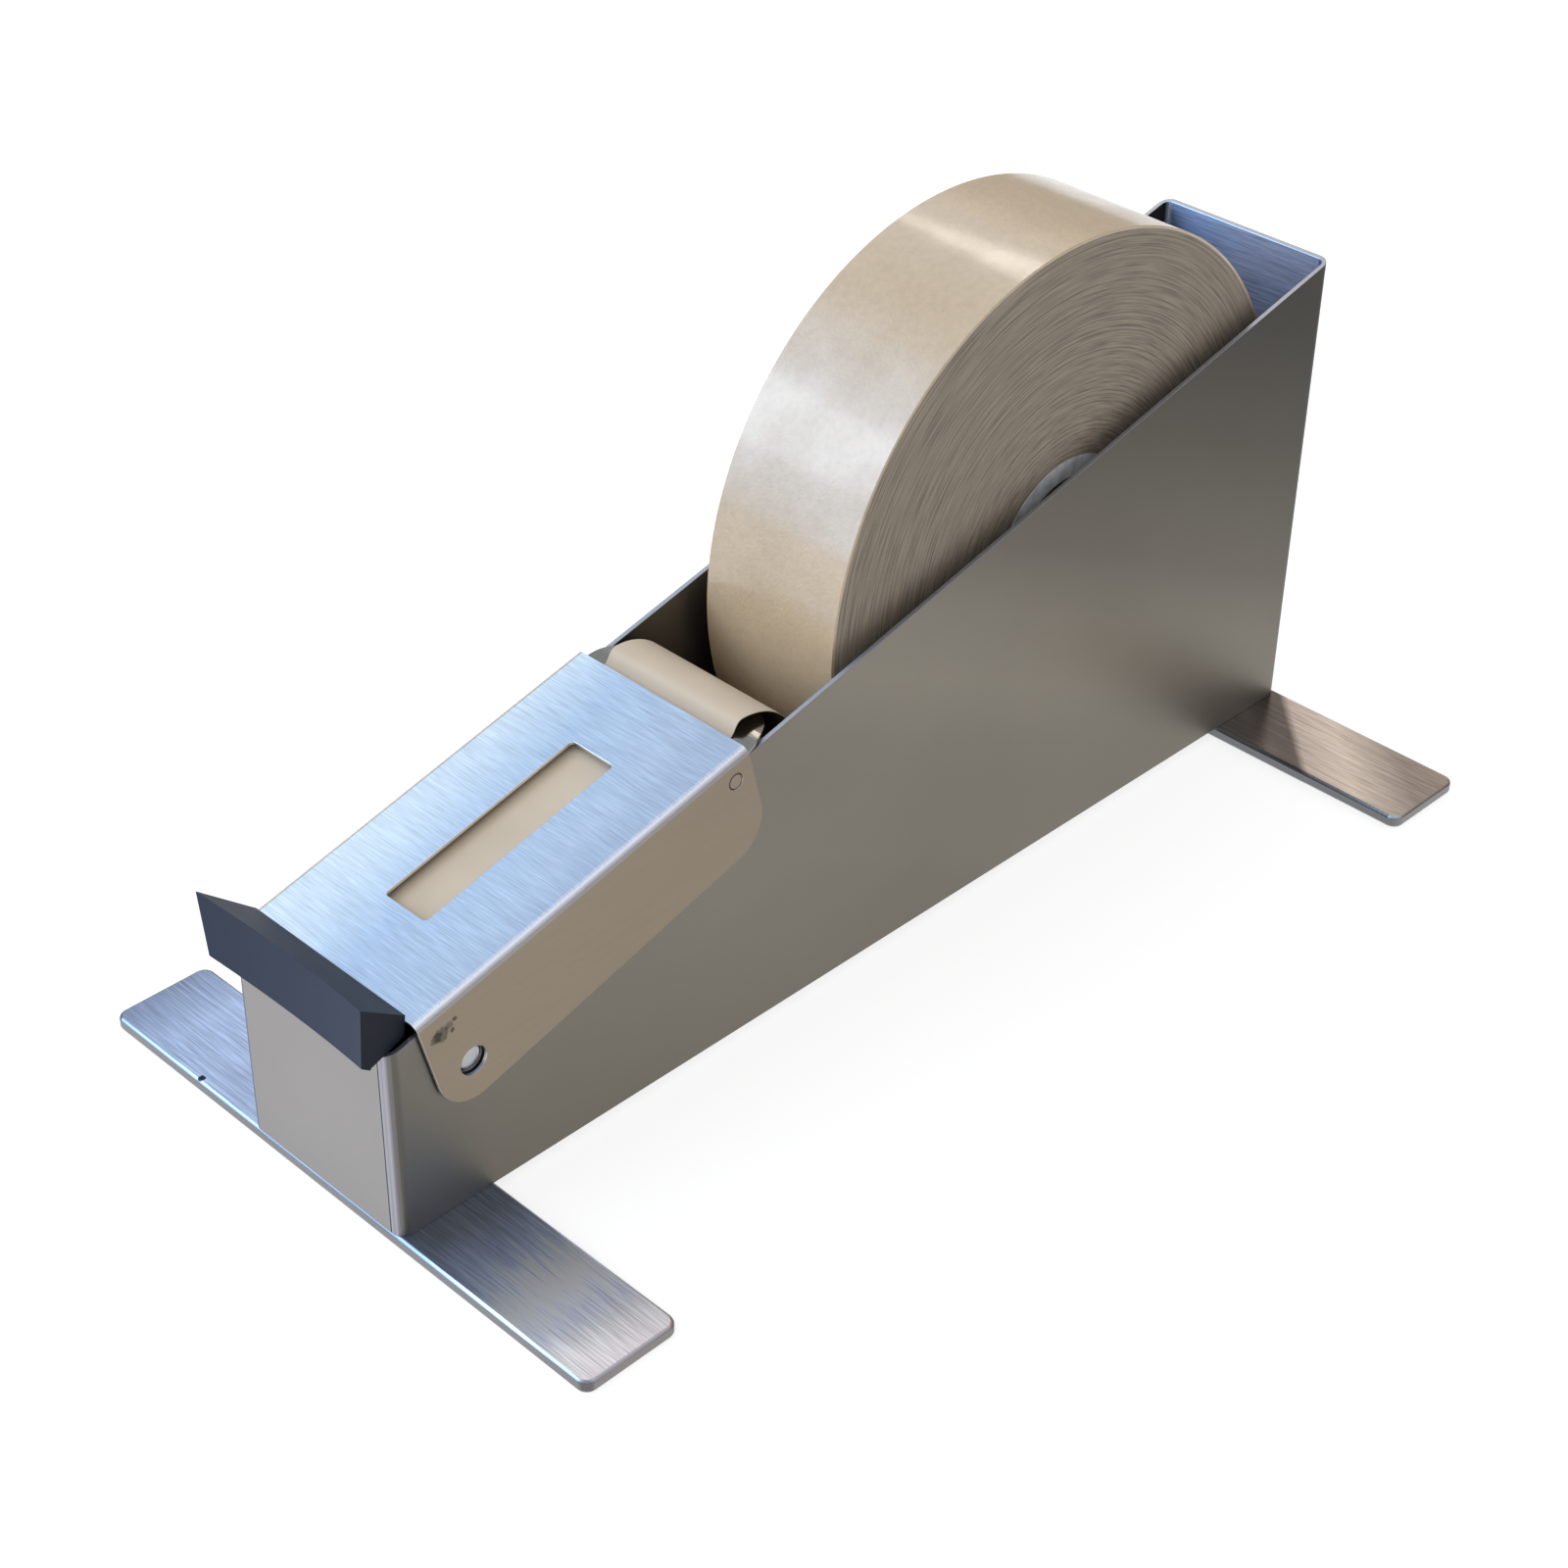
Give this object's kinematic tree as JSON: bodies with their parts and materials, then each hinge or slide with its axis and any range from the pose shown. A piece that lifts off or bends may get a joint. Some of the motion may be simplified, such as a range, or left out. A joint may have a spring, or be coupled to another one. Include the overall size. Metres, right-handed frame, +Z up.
{
  "type": "gummed tape dispenser",
  "caption": "Stainless shop-counter dispenser for gummed paper tape, with a tall narrow body on cross feet, a hinged cover with a dark tear bar, and a drop-in roll.",
  "frame": {"origin": "on the table, under the middle of the whole dispenser's outline", "axes": "+Z up, +Y from the tear bar at the front to the rear wall, +X across, to the right wall"},
  "size_m": [0.2, 0.381, 0.1998],
  "materials": {
    "stainless": "satin brushed",
    "foot_steel": "brushed along its length",
    "polished_steel": "polished",
    "bar_finish": "dark satin",
    "fastener_steel": "plain",
    "tray_plastic": "matt",
    "core_plastic": "matt",
    "felt": "felt",
    "kraft_paper": "glazed on one face",
    "core_board": "matt"
  },
  "bodies": {
    "frame": {"body_shell": "stainless", "base_plate": "stainless", "front_foot": "foot_steel", "rear_foot": "foot_steel", "tape_bed": "stainless", "pivot_pins": "fastener_steel", "catch_housing_left": "stainless", "catch_housing_right": "stainless", "catch_spring_left": "fastener_steel", "catch_spring_right": "fastener_steel", "catch_plug_left": "fastener_steel", "catch_plug_right": "fastener_steel", "water_tray": "tray_plastic", "tape_strip": "kraft_paper"},
    "cover": {"cover": "stainless", "tear_bar": "bar_finish", "tear_bar_screws": "fastener_steel"},
    "catch_left": {"catch_button_left": "polished_steel"},
    "catch_right": {"catch_button_right": "polished_steel"},
    "roller": {"roller_axle": "fastener_steel", "roller_core": "core_plastic", "roller_sleeve": "felt"},
    "roll": {"tape_roll": "kraft_paper", "roll_core": "core_board"}
  },
  "joints": [
    {"name": "cover_swing", "type": "hinge", "parent": "frame", "child": "cover", "pos_m": [-0.0034, -0.06355, 0.09254], "axis": [-1, 0, 0], "range_deg": [0, 12], "deforming": ["tape_strip"]},
    {"name": "catch_press_left", "type": "slide", "parent": "frame", "child": "catch_left", "axis": [1, 0, 0], "range_m": [0, 0.002], "stiffness_N_per_m": 600, "springref_m": -0.001, "deforming": ["catch_spring_left"]},
    {"name": "catch_press_right", "type": "slide", "parent": "frame", "child": "catch_right", "axis": [-1, 0, 0], "range_m": [0, 0.002], "stiffness_N_per_m": 600, "springref_m": -0.001, "deforming": ["catch_spring_right"]},
    {"name": "roll_spin", "type": "hinge", "parent": "frame", "child": "roll", "pos_m": [-0.0034, 0.07905, 0.1028], "axis": [1, 0, 0], "continuous": true},
    {"name": "roller_spin", "type": "hinge", "parent": "frame", "child": "roller", "pos_m": [-0.0034, -0.11802, 0.06942], "axis": [1, 0, 0], "continuous": true}
  ],
  "couplings": [
    {"joint": "roller_spin", "follows": "roll_spin", "ratio": -7.4615}
  ]
}
